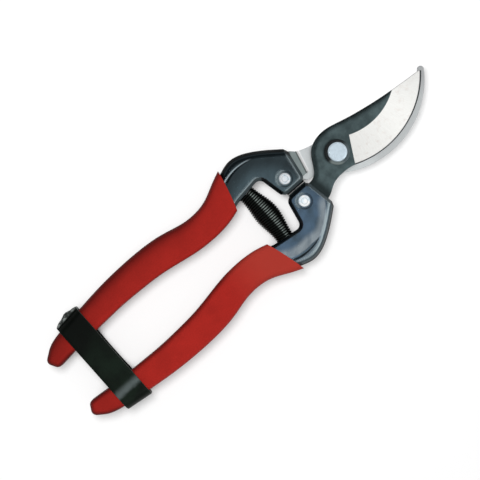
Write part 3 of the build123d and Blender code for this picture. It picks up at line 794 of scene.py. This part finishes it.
class SHEARS_OT_strap(bpy.types.Operator):
    """Make the leather loop round both grips, with its lapped and riveted end"""
    bl_idname = "shears.strap"
    bl_label = "Strap"

    loop_steps: bpy.props.IntProperty(
        name="Loop steps", description="Sections round the whole loop", default=192, min=48)
    lap_steps: bpy.props.IntProperty(
        name="Lap steps", description="Sections along the lap", default=48, min=12)

    def band(self, name, stations, shape, closed):
        """Sweeps the strap's rounded section round the loop. A station is its place on the loop and its share
        of the full thickness; the shape says, across the strap from its rear edge, how far the outer
        face stands out from the strap's own, and the thickness there."""
        corner = settings().sizes.strap_corner
        wide = STRAP_FRONT - STRAP_REAR
        section = [(w, 0.0) for w in SECTION_FLAT] + SECTION_EDGE
        section += [(1 - w, 1 - depth) for w, depth in section]
        bm = bmesh.new()
        rings = []
        for t, share in stations:
            ring = []
            for w, depth in section:
                proud, thick = shape(w, share)
                out = proud - depth * thick
                half = STRAP_REAR_Y + (STRAP_FRONT_Y - STRAP_REAR_Y) * w + out
                y, z = loop_point(t, half, MID + out, corner + out)
                back = STRAP_LEAN * (0.5 - z / MID / 2)
                if z < 0 and abs(y) < ARCH_Y:
                    z += ARCH * (1 - (y / ARCH_Y) ** 2)
                ring.append(bm.verts.new(Vector((STRAP_REAR + w * wide - back, y, z + MID)) * MM))
            rings.append(ring)
        pairs = list(zip(rings, rings[1:]))
        if closed:
            pairs.append((rings[-1], rings[0]))
        else:
            bm.faces.new(rings[0])
            bm.faces.new(list(reversed(rings[-1])))
        count = len(section)
        for a, b in pairs:
            for k in range(count):
                n = (k + 1) % count
                bm.faces.new((a[k], b[k], b[n], a[n]))
        bmesh.ops.recalc_face_normals(bm, faces=bm.faces[:])
        mesh = bpy.data.meshes.new(name)
        bm.to_mesh(mesh)
        bm.free()
        return mesh

    def pierced(self, mesh):
        """The same mesh with the rivet's hole and the seat of its head cut out."""
        slope = math.atan(STRAP_SPLAY)
        out = Vector((-math.sin(slope), math.cos(slope), 0))
        middle = Vector(((STRAP_REAR + STRAP_FRONT) / 2, (STRAP_REAR_Y + STRAP_FRONT_Y) / 2, MID))
        turn = out.to_track_quat("Z", "Y").to_matrix().to_4x4()
        bm = bmesh.new()
        for radius, low, high in (RIVET_HOLE, HEAD_HOLE):
            centre = (middle + out * (low + high) / 2) * MM
            bmesh.ops.create_cone(bm, cap_ends=True, segments=40, radius1=radius * MM, radius2=radius * MM,
                                  depth=(high - low) * MM, matrix=Matrix.Translation(centre) @ turn)
        drill = bpy.data.meshes.new("rivet_hole")
        bm.to_mesh(drill)
        bm.free()
        tool = bpy.data.objects.new("rivet_hole", drill)
        blank = bpy.data.objects.new("blank", mesh)
        for made in (tool, blank):
            bpy.context.scene.collection.objects.link(made)
        cut = blank.modifiers.new("rivet_hole", "BOOLEAN")
        cut.object, cut.operation, cut.solver, cut.use_self = tool, "DIFFERENCE", "EXACT", True
        done = bpy.data.meshes.new_from_object(blank.evaluated_get(bpy.context.evaluated_depsgraph_get()))
        for made in (tool, blank):
            bpy.data.objects.remove(made)
        if len(done.polygons) < len(mesh.polygons) / 2:
            raise RuntimeError("the rivet's hole in the strap did not cut")
        done.name = mesh.name
        return done

    def execute(self, context):
        thickness = settings().sizes.strap_thickness

        def even(w, share):
            return 0.0, thickness

        def lapped(w, share):
            """Flush at both edges, swollen and lumpy between them."""
            lift = LAP_SWELL * 4 * w * (1 - w) * (1 + LAP_LUMPS * math.sin(13 * w + 7 * share))
            proud = max(LAP_LEAST, (LAP_EDGE + lift) * share)
            return proud, proud - LAP_GAP

        round_loop = [(i / self.loop_steps, 1.0) for i in range(self.loop_steps)]
        along_lap = []
        for i in range(self.lap_steps + 1):
            u = i / self.lap_steps
            share = min(1.0, LAP_TAPER[0] + LAP_TAPER[1] * min(u, 1 - u))
            along_lap.append((LAP_START + LAP_LENGTH * u, share))
        loop = self.band("strap_leather", round_loop, even, True)
        lap = self.band("strap_lap", along_lap, lapped, False)
        leather = leather_finish()
        for name, mesh in (("strap_leather", loop), ("strap_lap", lap)):
            piece = new_piece(name, self.pierced(mesh), leather, "hook_side", "strap")
            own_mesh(piece)
        return {"FINISHED"}


def ray_is(f, *kinds):
    """1 for rays of these kinds."""
    seen = f.node("ShaderNodeLightPath", output=kinds[0])
    for kind in kinds[1:]:
        seen = seen | f.node("ShaderNodeLightPath", output=kind)
    return seen


def table_finish():
    """A pale matt table that glows white to the camera, but not close by the shears, where their shade
    falls. Its back is clear, so that the shears can be seen from below."""
    f = finish("table_white")
    paint = f.node("ShaderNodeBsdfDiffuse", inputs={"Color": TABLE_PAINT})
    open_sky = f.node("ShaderNodeAmbientOcclusion", {"samples": 8}, {"Distance": SHADE_SPAN * MM}, "AO")
    x, y, _ = f.split(f.place())
    far = f.ease(f.out_from(x, y, (0.0, 0.0)), *TABLE_FAR)
    white = f.blend(f.ease(open_sky, 0.22, 0.66), (0, 0, 0), f.blend(far, TABLE_NEAR, WHITE))
    seen = ray_is(f, "Is Camera Ray", "Is Glossy Ray", "Is Transmission Ray")
    glow = f.node("ShaderNodeEmission", inputs={"Color": white, "Strength": seen * TABLE_GLOW})
    front = f.node("ShaderNodeAddShader", inputs={0: paint, 1: glow})
    back = f.node("ShaderNodeBsdfTransparent")
    below = f.node("ShaderNodeNewGeometry", output="Backfacing")
    sheet = f.node("ShaderNodeMixShader", inputs={0: below, 1: front, 2: back})
    f.node("ShaderNodeOutputMaterial", inputs={"Surface": sheet})
    return f.owner


def studio_world(light):
    """Even light all round, soft cards overhead in the mirrors of metal and enamel, white to the camera."""
    f = Finish(bpy.data.worlds.new("studio"))
    ahead, across, up = f.split(f.node("ShaderNodeTexCoord", output="Generated"))
    card = f.ramp(across * 0.5 + 0.5, [(place / 2 + 0.5, level) for place, level in CARDS]) * CARD_LEVEL
    reach = f.ease(ahead, -0.42, -0.20, 0.30, 1.0) * f.ease(ahead, 0.50, 0.72, 1.0, 0.30)
    spark = (f.strip(across, (-0.90, -0.82), (-0.52, -0.46))
             * f.strip(ahead, (0.10, 0.24), (0.50, 0.60)))
    high = f.ease(up, 0.50, 0.75)
    mirrored = (card * reach + spark * SPARK_LEVEL) * high + (1.0 - high) * LOW_LEVEL
    level = light.sky + (mirrored * light.cards - light.sky) * ray_is(f, "Is Glossy Ray")
    level = level + (1.0 - level) * ray_is(f, "Is Camera Ray", "Is Transmission Ray")
    glow = f.node("ShaderNodeBackground", inputs={"Color": (*WHITE, 1), "Strength": level})
    f.node("ShaderNodeOutputWorld", inputs={"Surface": glow})
    return f.owner


def key_lamp(power):
    """A broad round lamp overhead, aimed at the shears and kept out of their mirrors."""
    data = bpy.data.lights.new("key_lamp", "AREA")
    data.shape, data.size, data.energy = "DISK", KEY_SIZE, power
    lamp = bpy.data.objects.new("key_lamp", data)
    lamp.location = KEY_AT
    lamp.rotation_euler = (Vector(STAGE_MIDDLE) - Vector(KEY_AT)).to_track_quat("-Z", "Y").to_euler()
    lamp.visible_glossy = False
    return lamp


def overhead_camera():
    """A camera straight above, turned so that the shears lie across the picture."""
    data = bpy.data.cameras.new("camera")
    data.lens, data.sensor_width, data.clip_start = LENS, SENSOR, CLIP
    camera = bpy.data.objects.new("camera", data)
    right = Vector((math.cos(TURN), -math.sin(TURN), 0))
    up = Vector((math.sin(TURN), math.cos(TURN), 0))
    spin = Matrix((right, up, Vector((0, 0, 1)))).transposed().to_4x4()
    above = Vector((0, 0, PICTURE_WIDTH * LENS / SENSOR))
    camera.matrix_world = Matrix.Translation((Vector(PICTURE_MIDDLE) + above) * MM) @ spin
    return camera


class SHEARS_OT_stage(bpy.types.Operator):
    """Lay the pale table, the lamp and the camera"""
    bl_idname = "shears.stage"
    bl_label = "Stage"

    def execute(self, context):
        scene, light = context.scene, settings().light
        scene.view_settings.view_transform = "Standard"
        bm = bmesh.new()
        bmesh.ops.create_grid(bm, x_segments=4, y_segments=4, size=TABLE_HALF)
        mesh = bpy.data.meshes.new("table")
        bm.to_mesh(mesh)
        bm.free()
        mesh.materials.append(table_finish())
        table = bpy.data.objects.new("table", mesh)
        table.location = TABLE_AT
        scene.collection.objects.link(table)
        scene.world = studio_world(light)
        scene.collection.objects.link(key_lamp(light.key))
        camera = overhead_camera()
        scene.collection.objects.link(camera)
        scene.camera = camera
        return {"FINISHED"}


STEPS = (SHEARS_OT_stage, SHEARS_OT_blades, SHEARS_OT_handles, SHEARS_OT_grips, SHEARS_OT_fasteners,
         SHEARS_OT_spring, SHEARS_OT_strap)


class SHEARS_PT_panel(bpy.types.Panel):
    """The shears' steps and settings"""
    bl_label = "Pruning shears"
    bl_idname = "SHEARS_PT_panel"
    bl_space_type = "VIEW_3D"
    bl_region_type = "UI"
    bl_category = "Shears"

    def draw(self, context):
        for step in STEPS:
            self.layout.operator(step.bl_idname)
        shears = context.scene.shears
        for group in (shears.colours, shears.sizes, shears.light):
            column = self.layout.column()
            for key in group.__annotations__:
                column.prop(group, key)


CLASSES = (ShearsColours, ShearsSizes, ShearsLight, ShearsSettings, *STEPS, SHEARS_PT_panel)


def register():
    for cls in CLASSES:
        bpy.utils.register_class(cls)
    bpy.types.Scene.shears = bpy.props.PointerProperty(type=ShearsSettings)


def unregister():
    del bpy.types.Scene.shears
    for cls in reversed(CLASSES):
        bpy.utils.unregister_class(cls)


def main():
    register()
    for step in STEPS:
        group, name = step.bl_idname.split(".")
        getattr(getattr(bpy.ops, group), name)()


if __name__ == "__main__":
    main()
